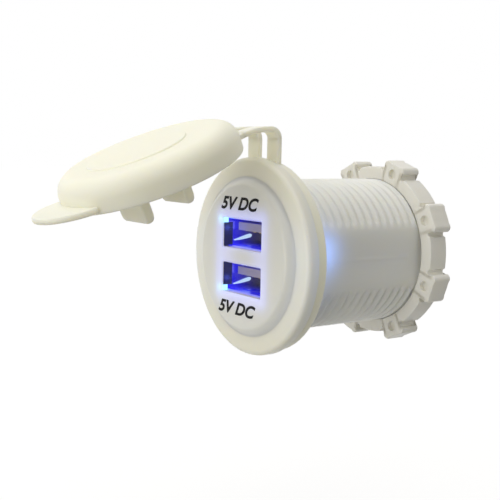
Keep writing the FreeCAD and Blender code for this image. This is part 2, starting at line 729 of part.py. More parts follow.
for place in PIN_PLACES:
    add_rectangle(holes, f"{place} - pin_size / 2 - hole_slip", f"{place} + pin_size / 2 + hole_slip",
                  f"{pin_low} - hole_slip", f"{pin_low} + pin_size + hole_slip")
pocket(port_board, holes, "port_board_thickness", "port_board_holes")
PARTS.append(port_board)

# power board
# Board along the barrel, held between the housing's rails, with the step-down converter on it.
PARTS.append(box("power_board", ("-power_board_half", "board_back_y", "-power_board_thickness / 2"),
                 ("power_board_half", "power_board_end_y", "power_board_thickness / 2")))

# header pins
# A row of pins through the port board, soldered along the power board.
header_pins = new_body("header_pins")
pins = new_sketch(header_pins, "header_pins_outline", "XZ_Plane", "-pin_end_y")
for place in PIN_PLACES:
    add_rectangle(pins, f"{place} - pin_size / 2", f"{place} + pin_size / 2",
                  pin_low, f"{pin_low} + pin_size")
pad(header_pins, pins, "pin_end_y - port_board_y", "header_pins_solid")
PARTS.append(header_pins)

# inductor
# Ferrite drum core on the power board, and the copper winding between its flanges.
board_top = "power_board_thickness / 2"
inductor_core = new_body("inductor_core")
revolve(inductor_core, "core_solid", [
    ("0", board_top),
    ("core_radius", board_top),
    ("core_radius", f"{board_top} + core_flange"),
    ("core_neck", f"{board_top} + core_flange"),
    ("core_neck", f"{board_top} + core_height - core_flange"),
    ("core_radius", f"{board_top} + core_height - core_flange"),
    ("core_radius", f"{board_top} + core_height"),
    ("0", f"{board_top} + core_height"),
], "XZ_Plane")
inductor_winding = new_body("inductor_winding")
revolve(inductor_winding, "winding_solid", [
    ("core_neck", f"{board_top} + core_flange"),
    ("winding_radius", f"{board_top} + core_flange"),
    ("winding_radius", f"{board_top} + core_height - core_flange"),
    ("core_neck", f"{board_top} + core_height - core_flange"),
], "XZ_Plane")
for piece in (inductor_core, inductor_winding):
    piece.setExpression("Placement.Base.x", cell("core_x"))
    piece.setExpression("Placement.Base.y", cell("board_back_y + core_setback"))
    PARTS.append(piece)

# capacitors
# Aluminium cans that lie along the power board.
for name, radius, length, across, setback in (
    ("input_capacitor", "big_can_radius", "big_can_length", "big_can_x", "big_can_setback"),
    ("output_capacitor", "small_can_radius", "small_can_length", "small_can_x", "small_can_setback"),
):
    can = new_body(name)
    revolve(can, f"{name}_solid", [
        ("0", "0"),
        (radius, "0"),
        (radius, length),
        ("0", length),
    ])
    can.setExpression("Placement.Base.x", cell(across))
    can.setExpression("Placement.Base.y", cell(f"board_back_y + {setback}"))
    can.setExpression("Placement.Base.z", cell(f"{board_top} + {radius}"))
    PARTS.append(can)

# chip and diode
# On the power board's underside: the converter in an eight-lead case, and the rectifier.
board_low = "(-power_board_thickness / 2)"
for name, stem, leads in (
    ("converter_chip", "chip", (-1.5, -0.5, 0.5, 1.5)),
    ("rectifier_diode", "diode", (0,)),
):
    length, width, height = f"{stem}_length", f"{stem}_width", f"{stem}_height"
    along = f"board_back_y + {stem}_setback"
    case = new_body(name)
    sketch = new_sketch(case, f"{name}_case_outline", "XY_Plane", f"{board_low} - {height}")
    add_rectangle(sketch, f"-{width} / 2", f"{width} / 2",
                  f"{along} - {length} / 2", f"{along} + {length} / 2")
    pad(case, sketch, height, f"{name}_case")
    sketch = new_sketch(case, f"{name}_leads_outline", "XY_Plane", f"{board_low} - lead_height")
    for place in leads:
        middle = f"{along} + {place} * lead_pitch"
        add_rectangle(sketch, f"-{width} / 2 - lead_reach", f"{width} / 2 + lead_reach",
                      f"{middle} - lead_width / 2", f"{middle} + lead_width / 2")
    pad(case, sketch, "lead_height", f"{name}_leads")
    PARTS.append(case)

doc.recompute()
for item in doc.Objects:
    if "Invalid" in item.State or "Error" in item.State:
        raise RuntimeError(f"{item.Name} failed: {item.State}")
for piece in PARTS:
    if piece.Shape.isNull() or not piece.Shape.isValid():
        raise RuntimeError(f"{piece.Label} has no valid shape")

os.makedirs("parts", exist_ok=True)
for piece in PARTS:
    piece.Shape.exportStep(os.path.join("parts", f"{piece.Label}.step"))
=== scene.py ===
import math

import bmesh
import bpy
import numpy as np
from mathutils import Matrix, Vector


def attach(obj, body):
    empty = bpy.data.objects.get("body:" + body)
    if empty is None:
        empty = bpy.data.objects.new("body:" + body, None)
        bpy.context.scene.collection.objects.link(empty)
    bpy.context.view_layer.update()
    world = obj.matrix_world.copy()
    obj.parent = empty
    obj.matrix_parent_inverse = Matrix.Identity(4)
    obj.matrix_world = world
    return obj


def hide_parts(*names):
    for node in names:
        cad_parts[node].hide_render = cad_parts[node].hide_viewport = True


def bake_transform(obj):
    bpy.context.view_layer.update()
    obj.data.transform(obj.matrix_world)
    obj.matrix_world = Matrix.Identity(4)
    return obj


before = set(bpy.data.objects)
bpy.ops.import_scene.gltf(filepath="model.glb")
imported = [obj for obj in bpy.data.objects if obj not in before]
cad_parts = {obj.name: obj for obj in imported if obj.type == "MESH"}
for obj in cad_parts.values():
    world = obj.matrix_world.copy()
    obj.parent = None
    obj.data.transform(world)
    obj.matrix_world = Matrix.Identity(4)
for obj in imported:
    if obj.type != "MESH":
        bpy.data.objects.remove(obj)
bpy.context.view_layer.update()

# Housing
# One moulding in translucent white plastic: a flange and a barrel with a coarse thread. The mould opens to
# the sides, so each side has a smooth flat with a faint parting line. The lamps' light is a drawn blue glow.
FLANGE_RADIUS = 18.5
FLANGE_FRONT = -4.65
FLANGE_BACK = -2.15
FLANGE_ROUND = 0.9
FLANGE_BACK_ROUND = 0.3
FLANGE_FRONT_LAND = 15.6
FLANGE_BACK_LAND = 16.5
BARREL_RADIUS = 14.5
BARREL_BORE = 12.2
BARREL_END = 32.5
END_CHAMFER = 0.45
END_CHAMFER_LENGTH = 0.5
FLAT_DISTANCE = 13.42
FLAT_BLEND = 0.8
FLAT_FADE = 0.9
PARTING_LINE = 0.08
PARTING_SPAN = (1.0, 24.0)
THREAD_PITCH = 1.85
THREAD_DEPTH = 0.42
THREAD_START = -0.4
THREAD_STOP = BARREL_END - 0.8
THREAD_ROWS = 11
PLASTIC = (0.86, 0.855, 0.80)
FLANGE_TINT = (0.87, 0.845, 0.72)
FLANGE_TINT_END = -1.5
SUBSURFACE_RADIUS = (0.0030, 0.0026, 0.0017)
GRAIN_SCALE = 900.0
GRAIN_DEPTH = 0.00002
HOUSING_BLUE = (0.16, 0.36, 1.0)
HOUSING_GLOW = 0.85
HOUSING_HAZE = 0.17


def mesh_object(name, points, faces, smooth_angle=38):
    """A mesh object from points in millimetres, smooth but for edges sharper than the angle."""
    mesh = bpy.data.meshes.new(name)
    mesh.from_pydata([[0.001 * c for c in point] for point in points], [], faces)
    shape = bmesh.new()
    shape.from_mesh(mesh)
    bmesh.ops.remove_doubles(shape, verts=shape.verts, dist=1e-7)
    bmesh.ops.recalc_face_normals(shape, faces=shape.faces)
    shape.to_mesh(mesh)
    shape.free()
    mesh.shade_smooth()
    mesh.set_sharp_from_angle(angle=math.radians(smooth_angle))
    made = bpy.data.objects.new(name, mesh)
    bpy.context.collection.objects.link(made)
    return made


def arc(centre_a, centre_b, radius, start, end, steps=6):
    """Points of an arc between two angles in degrees."""
    angles = np.radians(np.linspace(start, end, steps + 1))
    return [(centre_a + radius * math.cos(t), centre_b + radius * math.sin(t)) for t in angles]


def turned(profile, count=144, reshape=None):
    """Points and faces of a closed (radius, y) profile turned about the barrel's axis."""
    points, faces = [], []
    size = len(profile)
    for turn in range(count):
        angle = 2 * math.pi * turn / count
        for radius, along in profile:
            if reshape:
                radius = reshape(radius, along, angle)
            points.append((radius * math.cos(angle), along, radius * math.sin(angle)))
        start, following = turn * size, (turn + 1) % count * size
        for step in range(size):
            after = (step + 1) % size
            faces.append((start + step, following + step, following + after, start + after))
    return points, faces


def shader(name, colour, roughness, metallic=0.0, specular=0.5, scatter=0.0):
    """A node material with plain values. Returns it with its nodes, links and main shader."""
    made = bpy.data.materials.new(name)
    made.use_nodes = True
    nodes, links = made.node_tree.nodes, made.node_tree.links
    main = nodes["Principled BSDF"]
    main.inputs["Base Color"].default_value = (*colour, 1)
    main.inputs["Roughness"].default_value = roughness
    main.inputs["Metallic"].default_value = metallic
    main.inputs["Specular IOR Level"].default_value = specular
    if scatter:
        main.inputs["Subsurface Weight"].default_value = scatter
        main.inputs["Subsurface Radius"].default_value = SUBSURFACE_RADIUS
        main.inputs["Subsurface Scale"].default_value = 1.0
    return made, nodes, links, main


def math_node(nodes, links, operation, first, second=None):
    """One arithmetic step between sockets or plain numbers."""
    node = nodes.new("ShaderNodeMath")
    node.operation = operation
    for socket, item in zip(node.inputs, (first, second)):
        if item is None:
            continue
        if isinstance(item, (int, float)):
            socket.default_value = item
        else:
            links.new(item, socket)
    return node.outputs[0]


def place_in_mm(nodes, links):
    """The three object coordinates in millimetres."""
    place = nodes.new("ShaderNodeTexCoord")
    split = nodes.new("ShaderNodeSeparateXYZ")
    links.new(place.outputs["Object"], split.inputs[0])
    return [math_node(nodes, links, "MULTIPLY", axis, 1000.0) for axis in split.outputs]


def mix_colours(nodes, links, amount, first, second):
    """A colour between two, by an amount from 0 to 1."""
    mix = nodes.new("ShaderNodeMix")
    mix.data_type = "RGBA"
    links.new(amount, mix.inputs[0])
    mix.inputs[6].default_value = (*first, 1)
    mix.inputs[7].default_value = (*second, 1)
    return mix.outputs[2]


def falloff(nodes, links, terms):
    """exp(-(sum of ((place - centre) / width) squared))."""
    total = 0.0
    for place, centre, width in terms:
        offset = math_node(nodes, links, "SUBTRACT", place, centre)
        scaled = math_node(nodes, links, "DIVIDE", offset, width)
        total = math_node(nodes, links, "ADD", math_node(nodes, links, "MULTIPLY", scaled, scaled), total)
    return math_node(nodes, links, "EXPONENT", math_node(nodes, links, "MULTIPLY", total, -1.0))


def add_grain(nodes, links, main, scale, depth):
    """A fine moulded texture."""
    place = nodes.new("ShaderNodeTexCoord")
    noise = nodes.new("ShaderNodeTexNoise")
    noise.inputs["Scale"].default_value = scale
    noise.inputs["Detail"].default_value = 3.0
    bump = nodes.new("ShaderNodeBump")
    bump.inputs["Strength"].default_value = 0.4
    bump.inputs["Distance"].default_value = depth
    links.new(place.outputs["Object"], noise.inputs["Vector"])
    links.new(noise.outputs[0], bump.inputs["Height"])
    links.new(bump.outputs[0], main.inputs["Normal"])


def wear(obj, material):
    """Gives a piece or a carried-over node its one material."""
    obj.data.materials.clear()
    obj.data.materials.append(material)


def barrel_form(radius, along, angle):
    """Cuts the thread and the two flats into the barrel's outside."""
    if radius < BARREL_BORE + 1 or along < FLANGE_BACK or radius > BARREL_RADIUS + 0.01:
        return radius
    turn = along / THREAD_PITCH - angle / (2 * math.pi)
    wave = 0.5 - 0.5 * math.cos(2 * math.pi * turn)
    run_in = min(1.0, max(0.0, (along - THREAD_START) / THREAD_PITCH))
    run_out = min(1.0, max(0.0, (THREAD_STOP - along) / THREAD_PITCH))
    flat = FLAT_DISTANCE / max(abs(math.cos(angle)), 0.5)
    if abs(math.sin(angle)) < 0.01 and PARTING_SPAN[0] < along < PARTING_SPAN[1]:
        flat += PARTING_LINE
    fade = min(1.0, max(0.0, (flat - radius) / FLAT_FADE))
    cut = radius - THREAD_DEPTH * wave * run_in * run_out * fade
    near = max(0.0, 1.0 - abs(flat - cut) / FLAT_BLEND)
    return min(cut, flat) - FLAT_BLEND / 4 * near ** 2


barrel_rows = np.linspace(FLANGE_BACK, BARREL_END - END_CHAMFER_LENGTH,
                          int((BARREL_END - FLANGE_BACK) / THREAD_PITCH * THREAD_ROWS))
housing_points, housing_faces = turned([
    (BARREL_BORE, FLANGE_FRONT),
    (FLANGE_FRONT_LAND, FLANGE_FRONT),
    *arc(FLANGE_RADIUS - FLANGE_ROUND, FLANGE_FRONT + FLANGE_ROUND, FLANGE_ROUND, -90, 0),
    *arc(FLANGE_RADIUS - FLANGE_BACK_ROUND, FLANGE_BACK - FLANGE_BACK_ROUND, FLANGE_BACK_ROUND, 0, 90, 3),
    (FLANGE_BACK_LAND, FLANGE_BACK),
    *[(BARREL_RADIUS, row) for row in barrel_rows],
    (BARREL_RADIUS - END_CHAMFER, BARREL_END),
    (BARREL_BORE, BARREL_END),
], 256, barrel_form)
housing = mesh_object("housing_moulding", housing_points, housing_faces, 50)
housing_material, nodes, links, main = shader("housing_plastic", PLASTIC, 0.34, scatter=0.5)
across, along, up = place_in_mm(nodes, links)
on_flange = math_node(nodes, links, "LESS_THAN", along, FLANGE_TINT_END)
links.new(mix_colours(nodes, links, on_flange, PLASTIC, FLANGE_TINT), main.inputs["Base Color"])
side = math_node(nodes, links, "ABSOLUTE", across)
glow = falloff(nodes, links, [(side, 14.0, 4.0), (along, 2.3, 3.8), (up, 1.7, 3.6)])
haze = falloff(nodes, links, [(side, 14.0, 9.0), (along, 0.0, 5.5), (up, 0.0, 10.0)])
main.inputs["Emission Color"].default_value = (*HOUSING_BLUE, 1)
total = math_node(nodes, links, "ADD", math_node(nodes, links, "MULTIPLY", glow, HOUSING_GLOW),
                  math_node(nodes, links, "MULTIPLY", haze, HOUSING_HAZE))
links.new(total, main.inputs["Emission Strength"])
add_grain(nodes, links, main, GRAIN_SCALE, GRAIN_DEPTH)
wear(housing, housing_material)
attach(housing, "socket")
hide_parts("housing")

# Face plate
# The raised round face with a soft slope for a rim and a small bevel round each window. The lamps' light in
# it is a drawn blue glow, and each window's outer wall is painted dark.
FACE_RADIUS = 15.0
FACE_FRONT = -5.95
FACE_SLOPE = 1.8
FACE_BACK = -3.6
FACE_FLAT = 10.8
RIM_STEPS = 13
SPIGOT_RADIUS = 12.1
SPIGOT_WALL = 1.2
SPIGOT_END = -0.5
WINDOW_WIDTH = 12.4
WINDOW_HEIGHT = 5.6
WINDOW_BEVEL = 0.28
PORT_MIDDLES = (4.26, -4.26)
LAMP_PLACES = ((6.01, 7.06), (-7.06, -6.01))
LAMP_SLOT = (-7.75, -6.0)
LAMP_SLOT_DEPTHS = (-5.68, -3.0)
FACE_COLOUR = (0.82, 0.812, 0.735)
WALL_COLOUR = (0.05, 0.045, 0.07)
WALL_SIDE = -6.0
WALL_FRONT = -5.62
GLOW_HALF_WIDTH = 6.4
GLOW_HALF_HEIGHT = 7.2
GLOW_DEPTH = -5.75
FACE_BLUE = (0.20, 0.26, 1.0)
FACE_HALO = 0.42
FACE_HAZE = 0.07


def loft(loops, cap=True):
    """Points and faces through loops with the same number of points."""
    points = [point for loop in loops for point in loop]
    size = len(loops[0])
    faces = []
    for level in range(len(loops) - 1):
        for step in range(size):
            after = (step + 1) % size
            faces.append((level * size + step, level * size + after,
                          (level + 1) * size + after, (level + 1) * size + step))
    if cap:
        faces.append(tuple(range(size))[::-1])
        faces.append(tuple((len(loops) - 1) * size + step for step in range(size)))
    return points, faces


def rounded_rectangle(half_a, half_b, radius, steps=4):
    """A rectangle's outline with round corners, about the origin."""
    corners = ((1, 1, 0), (-1, 1, 90), (-1, -1, 180), (1, -1, 270))
    return [point for side_a, side_b, start in corners
            for point in arc(side_a * (half_a - radius), side_b * (half_b - radius), radius,
                             start, start + 90, steps)]


def cut_away(obj, cutters, operation="DIFFERENCE"):
    """Takes closed parts out of a piece, or adds them to it, and evens its shading."""
    for cutter in cutters:
        step = obj.modifiers.new("cut", "BOOLEAN")
        step.operation = operation
        step.solver = "EXACT"
        step.object = cutter
    graph = bpy.context.evaluated_depsgraph_get()
    result = bpy.data.meshes.new_from_object(obj.evaluated_get(graph))
    obj.modifiers.clear()
    old = obj.data
    obj.data = result
    bpy.data.meshes.remove(old)
    for cutter in cutters:
        bpy.data.objects.remove(cutter)
    obj.data.shade_smooth()
    obj.data.set_sharp_from_angle(angle=math.radians(32))
    even = obj.modifiers.new("even", "WEIGHTED_NORMAL")
    even.keep_sharp = True
    even.weight = 80


rim = []
for part in np.linspace(0, 1, RIM_STEPS):
    fall = 0.5 - 0.5 * math.cos(math.pi * part)
    rim.append((FACE_RADIUS - FACE_SLOPE * (1 - part), FACE_FRONT + (FLANGE_FRONT - FACE_FRONT) * fall))
face = mesh_object("face_moulding", *turned([
    (0, FACE_FRONT),
    (FACE_FLAT, FACE_FRONT),
    (FACE_RADIUS - FACE_SLOPE - 0.4, FACE_FRONT),
    *rim,
    (SPIGOT_RADIUS, FLANGE_FRONT),
    (SPIGOT_RADIUS, SPIGOT_END),
    (SPIGOT_RADIUS - SPIGOT_WALL, SPIGOT_END),
    (SPIGOT_RADIUS - SPIGOT_WALL, FACE_BACK),
    (0, FACE_BACK),
]))
cutters = []
for middle in PORT_MIDDLES:
    levels = []
    for depth, grow in ((FACE_FRONT - 0.2, WINDOW_BEVEL + 0.2), (FACE_FRONT + WINDOW_BEVEL, 0),
                        (FACE_BACK + 0.5, 0)):
        loop = rounded_rectangle(WINDOW_WIDTH / 2 + grow, WINDOW_HEIGHT / 2 + grow, 0.3 + grow)
        levels.append([(a, depth, middle + b) for a, b in loop])
    cutters.append(mesh_object("window_cutter", *loft(levels)))
outer, inner = LAMP_SLOT
for low, high in LAMP_PLACES:
    ends = [(outer, low), (inner, low), (inner, high), (outer, high)]
    levels = [[(a, depth, b) for a, b in ends] for depth in LAMP_SLOT_DEPTHS]
    cutters.append(mesh_object("lamp_cutter", *loft(levels)))
cut_away(face, cutters)
face_material, nodes, links, main = shader("face_plastic", FACE_COLOUR, 0.33, scatter=0.4)
across, along, up = place_in_mm(nodes, links)
out = math_node(nodes, links, "MAXIMUM", math_node(nodes, links, "SUBTRACT",
                math_node(nodes, links, "ABSOLUTE", across), GLOW_HALF_WIDTH), 0.0)
over = math_node(nodes, links, "MAXIMUM", math_node(nodes, links, "SUBTRACT",
                 math_node(nodes, links, "ABSOLUTE", up), GLOW_HALF_HEIGHT), 0.0)
near = falloff(nodes, links, [(out, 0.0, 2.1), (over, 0.0, 1.9)])
wide = falloff(nodes, links, [(across, 0.0, 9.5), (up, 0.0, 10.5)])
bridge = falloff(nodes, links, [(across, 0.6, 5.8), (up, 0.0, 2.5)])
halo = math_node(nodes, links, "MULTIPLY", near, math_node(nodes, links, "SUBTRACT", 1.0, bridge))
halo = math_node(nodes, links, "MULTIPLY", halo, math_node(nodes, links, "LESS_THAN", along, GLOW_DEPTH))
wall = math_node(nodes, links, "MULTIPLY", math_node(nodes, links, "LESS_THAN", across, WALL_SIDE),
                 math_node(nodes, links, "GREATER_THAN", along, WALL_FRONT))
for edge in (out, over):
    wall = math_node(nodes, links, "MULTIPLY", wall, math_node(nodes, links, "LESS_THAN", edge, 0.01))
links.new(mix_colours(nodes, links, wall, FACE_COLOUR, WALL_COLOUR), main.inputs["Base Color"])
main.inputs["Emission Color"].default_value = (*FACE_BLUE, 1)
total = math_node(nodes, links, "ADD", math_node(nodes, links, "MULTIPLY", halo, FACE_HALO),
                  math_node(nodes, links, "MULTIPLY", wide, FACE_HAZE))
links.new(total, main.inputs["Emission Strength"])
add_grain(nodes, links, main, GRAIN_SCALE, GRAIN_DEPTH)
wear(face, face_material)
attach(face, "socket")
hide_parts("face_plate")

# Printed marks
# Black slanted print above the upper port and below the lower one. It is a plain output rating, the sort
# that such sockets carry, and not the wording of any one product.
PRINT_HEIGHT = 2.5
PRINT_WIDTH = 12.3
PRINTS = (("rating_upper", -0.65, 9.9), ("rating_lower", -1.1, -9.85))

print_ink, nodes, links, main = shader("print_ink", (0.006, 0.006, 0.007), 0.7, specular=0.2)
for name, middle_x, middle_z in PRINTS:
    text = bpy.data.curves.new(name, "FONT")
    text.body = "5V DC"
    text.shear = 0.36
    text.offset = 0.034
    text.extrude = 0.004
    text.resolution_u = 6
    shaped = bpy.data.objects.new(name, text)
    bpy.context.collection.objects.link(shaped)
    graph = bpy.context.evaluated_depsgraph_get()
    outline = bpy.data.meshes.new_from_object(shaped.evaluated_get(graph))
    bpy.data.objects.remove(shaped)
    spots = np.array([v.co for v in outline.vertices])
    low, high = spots.min(0), spots.max(0)
    flat = (spots - (low + high) / 2) / (high - low)
    places = np.stack([middle_x + PRINT_WIDTH * flat[:, 0], FACE_FRONT - 0.006 - 0.012 * flat[:, 2],
                       middle_z + PRINT_HEIGHT * flat[:, 1]], 1)
    marks = mesh_object(name + "_print", places.tolist(), [tuple(face.vertices) for face in outline.polygons])
    wear(marks, print_ink)
    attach(marks, "socket")

# Port shells
# Folded steel, bright inside, standing in the windows; its blue glow towards the front is painted lamp light.
# The springs that grip a plug bulge into the port. A guessed spring on the outer side wall glows as a painted
# reflection of the lamp, for the bright streak seen there.
SHELL_INSIDE = 2.55
SPRING_PLACES = (-2.8, 2.8)
SPRING_WIDTH = 2.0
SPRING_REACH = 2.4
SPRING_SINK = 0.04
SPRING_WALLS = (("floor", -1, 0.1), ("roof", 1, 0.42))
SIDE_SPRING_PLACE = -6.1
SIDE_SPRING_LEVELS = ((-3.2, -1.7, 0.08), (-2.0, -1.5, 0.22), (-0.6, -1.2, 0.34), (0.4, -1.0, 0.36),
                      (0.7, -0.95, 0.2))
STEEL_GLOW = 0.6
SIDE_SPRING_GLOW = 0.85

steel, nodes, links, main = shader("steel", (0.46, 0.47, 0.53), 0.22, metallic=1.0)
across, along, up = place_in_mm(nodes, links)
# Painted lamp light: the shell's blue glow, strongest near the port's front.
beam = falloff(nodes, links, [(along, -4.2, 3.8)])
main.inputs["Emission Color"].default_value = (0.02, 0.015, 1.0, 1)
links.new(math_node(nodes, links, "MULTIPLY", beam, STEEL_GLOW), main.inputs["Emission Strength"])
# Painted reflection: the side spring's steel glows pale blue as if the lamp's light shone back off it.
painted_reflection_steel, nodes, links, main = shader("painted_reflection_steel", (0.60, 0.61, 0.66), 0.2, metallic=1.0)
main.inputs["Emission Color"].default_value = (0.55, 0.75, 1.0, 1)
main.inputs["Emission Strength"].default_value = SIDE_SPRING_GLOW
for which, middle in zip(("upper", "lower"), PORT_MIDDLES):
    wear(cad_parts[f"usb_shell_{which}"], steel)
    for number, place in enumerate(SPRING_PLACES, start=1):
        for wall, side, rise in SPRING_WALLS:
            levels = []
            for along in np.linspace(-SPRING_REACH, SPRING_REACH, 13):
                bulge = rise * math.cos(math.pi * along / (2 * SPRING_REACH)) ** 2 - SPRING_SINK
                height = middle + side * (SHELL_INSIDE - bulge)
                levels.append([(place + a, along, height + b)
                               for a, b in rounded_rectangle(SPRING_WIDTH / 2, 0.08, 0.06, 2)])
            spring = mesh_object(f"spring_{which}_{wall}_{number}", *loft(levels))
            wear(spring, steel)
            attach(spring, "socket")
    levels = []
    for along, height, half in SIDE_SPRING_LEVELS:
        levels.append([(SIDE_SPRING_PLACE + a, along, middle + height + b)
                       for a, b in rounded_rectangle(0.12, half, 0.06, 2)])
    spring = mesh_object(f"spring_{which}_side", *loft(levels))
    wear(spring, painted_reflection_steel)
    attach(spring, "socket")

# Contact carriers
# Grey plastic tongue in each port, with four gilt contacts along its underside. A faint blue glow stands for
# the lamp's light on it.
CARRIER_GLOW = 0.05

carrier_plastic, nodes, links, main = shader("carrier_plastic", (0.42, 0.38, 0.34), 0.5)
across, along, up = place_in_mm(nodes, links)
main.inputs["Emission Color"].default_value = (0.02, 0.03, 1.0, 1)
beam = falloff(nodes, links, [(along, -4.0, 3.0)])
links.new(math_node(nodes, links, "MULTIPLY", beam, CARRIER_GLOW), main.inputs["Emission Strength"])
contact_gilt, nodes, links, main = shader("contact_gilt", (0.80, 0.62, 0.28), 0.25, metallic=1.0)
for which in ("upper", "lower"):
    wear(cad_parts[f"contact_carrier_{which}"], carrier_plastic)
    wear(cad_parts[f"contacts_{which}"], contact_gilt)

# Indicator lamps
# A clear blue lamp beside each port. Its nose stands in the window's outer wall, and its light falls into
# the port.
LENS_GLOW = 1.1
LAMP_POWER = 0.00008
LAMP_SIZE = 0.0006

lamp_lens, nodes, links, main = shader("lamp_lens", (0.5, 0.8, 1.0), 0.2)
main.inputs["Emission Color"].default_value = (0.42, 0.86, 1.0, 1)
main.inputs["Emission Strength"].default_value = LENS_GLOW
for which, middle, side in zip(("upper", "lower"), PORT_MIDDLES, (1, -1)):
    wear(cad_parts[f"led_{which}"], lamp_lens)
    light = bpy.data.lights.new(f"lamp_light_{which}", "POINT")
    light.energy = LAMP_POWER
    light.color = (0.10, 0.16, 1.0)
    light.shadow_soft_size = LAMP_SIZE
    source = bpy.data.objects.new(f"lamp_light_{which}", light)
    source.location = (-0.0052, -0.0042, 0.001 * (middle + 0.6 * side))
    bpy.context.collection.objects.link(source)

# Cover ring
# The part of the soft rubber dust cover that the flange holds against the panel: a flat ring, and the two
# strap feet behind the flange. The rubber's faint glow stands for light passing through it.
RING_RADIUS = 18.0
RING_BORE = 14.6
RING_FRONT = -2.13
RING_ROUND = 0.35
RUBBER_GLOW = 0.08
STRAP_MIDDLES = (-3.05, 3.05)
STRAP_WIDTH = 3.5
STRAP_THICKNESS = 1.03
STRAP_ROUND = 0.28
STRAP_LINE = -0.975
FOOT_LOW = 15.6
BEND_START = 21.94


def join_parts(*parts):
    """One list of points and faces from several."""
    points, faces = [], []
    for more_points, more_faces in parts:
        shift = len(points)
        points += list(more_points)
        faces += [tuple(shift + corner for corner in face) for face in more_faces]
    return points, faces


def strap(path):
    """Both straps, each a band with round edges swept along (y, z) points."""
    spots = np.array(path, float)
    ways = np.gradient(spots, axis=0)
    ways /= np.linalg.norm(ways, axis=1, keepdims=True)
    loop = rounded_rectangle(STRAP_WIDTH / 2, STRAP_THICKNESS / 2, STRAP_ROUND, 3)
    return join_parts(*[loft([[(middle + a, along + b * way_z, up - b * way_y) for a, b in loop]
                              for (along, up), (way_y, way_z) in zip(spots, ways)], cap=False)
                        for middle in STRAP_MIDDLES])


rubber, nodes, links, main = shader("cover_rubber", (0.85, 0.832, 0.70), 0.46, specular=0.4, scatter=0.8)
main.inputs["Emission Color"].default_value = (1.0, 0.94, 0.74, 1)
main.inputs["Emission Strength"].default_value = RUBBER_GLOW
add_grain(nodes, links, main, 1400.0, GRAIN_DEPTH)
ring = mesh_object("cover_ring_rubber", *join_parts(
    turned([
        (RING_BORE, RING_FRONT),
        *arc(RING_RADIUS - RING_ROUND, RING_FRONT + RING_ROUND, RING_ROUND, -90, 0, 4),
        *arc(RING_RADIUS - RING_ROUND, -RING_ROUND, RING_ROUND, 0, 90, 4),
        (RING_BORE, 0.0),
    ]),
    strap([(STRAP_LINE, FOOT_LOW), (STRAP_LINE, BEND_START)]),
))
wear(ring, rubber)
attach(ring, "socket")
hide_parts("cover_ring")

# Cover straps
# The two bends of the same rubber, a tight turn forward over the flange and a long arc down to the lid.
BEND_RADIUS = 1.7
STRAP_RUN = 6.15
LID_SLOPE = 22.8

long_radius = STRAP_RUN / math.sin(math.radians(LID_SLOPE))
crest = BEND_START + BEND_RADIUS
path = arc(STRAP_LINE - BEND_RADIUS, BEND_START, BEND_RADIUS, 0, 90, 12)
path += arc(STRAP_LINE - BEND_RADIUS, crest - long_radius, long_radius, 90, 90 + LID_SLOPE, 12)[1:]
straps = mesh_object("cover_straps_rubber", *strap(path))
wear(straps, rubber)
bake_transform(straps)
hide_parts("cover_straps")

# Cover lid
# Round rubber lid with a skirt, a low round pad on top, a thumb tab, a stub for each strap and a soft plug
# for each port. Drawn in its own frame: across, away from the tab, and height above its top.
LID_RADIUS = 16.3
LID_ROUND = 3.15
LID_DEPTH = 5.46
LID_WALL = 1.15
LID_THICKNESS = 1.8
LID_CENTRE = (-26.517, 19.844)
PAD_RADIUS = 8.9
PAD_PLACE = (0.0, -1.4)
PAD_HEIGHT = 0.28
PAD_EDGE = ((-0.5, 0.1), (PAD_HEIGHT - 0.14, 0.0), (PAD_HEIGHT - 0.04, -0.06), (PAD_HEIGHT, -0.2),
            (PAD_HEIGHT, -0.7), (PAD_HEIGHT, 1.0 - PAD_RADIUS))
TAB_RADIUS = 7.66
TAB_LEVEL = -6.618
STUB_LEVEL = -4.5
TAB_CENTRE = -15.0
TAB_THICKNESS = 1.1
TAB_TILT = 6.0
TAB_ROOT = LID_RADIUS - 0.5
TAB_EDGE = ((0.0, 0.35), (0.1, 0.12), (0.35, 0.0), (TAB_THICKNESS - 0.35, 0.0), (TAB_THICKNESS - 0.1, 0.12),
            (TAB_THICKNESS, 0.35))
PLUG_WIDTH = 8.8
PLUG_ROUND = 0.45
PLUG_LEVELS = ((-1.5, 0.0, 0.0), (-10.0, 0.22, 0.0), (-10.8, 0.3, 0.1), (-11.22, 0.5, 0.3),
               (-11.4, 0.85, 0.6))
PLUG_SPANS = ((1.96, 4.16), (-6.56, -4.36))


def open_lid(points):
    """Places (across, away, height) points on the open lid."""
    cos, sin = math.cos(math.radians(LID_SLOPE)), math.sin(math.radians(LID_SLOPE))
    return [(a, LID_CENTRE[0] + b * cos - h * sin, LID_CENTRE[1] + b * sin + h * cos) for a, b, h in points]


disc_points, disc_faces = turned([
    (0, 0),
    (LID_RADIUS - LID_ROUND - 0.8, 0),
    *arc(LID_RADIUS - LID_ROUND, -LID_ROUND, LID_ROUND, 90, 0, 12),
    *arc(LID_RADIUS - 0.35, -LID_DEPTH + 0.35, 0.35, 0, -90, 4),
    *arc(LID_RADIUS - LID_WALL + 0.2, -LID_DEPTH + 0.2, 0.2, -90, -180, 3),
    (LID_RADIUS - LID_WALL, -LID_THICKNESS - 0.4),
    (LID_RADIUS - LID_WALL - 0.4, -LID_THICKNESS),
    (0, -LID_THICKNESS),
], 192)
disc = ([(x, z, h) for x, h, z in disc_points], disc_faces)

pad_levels = []
for lift, grow in PAD_EDGE:
    pad_levels.append([(a, s, lift) for a, s in arc(*PAD_PLACE, PAD_RADIUS + grow, 0, 357.5, 143)])

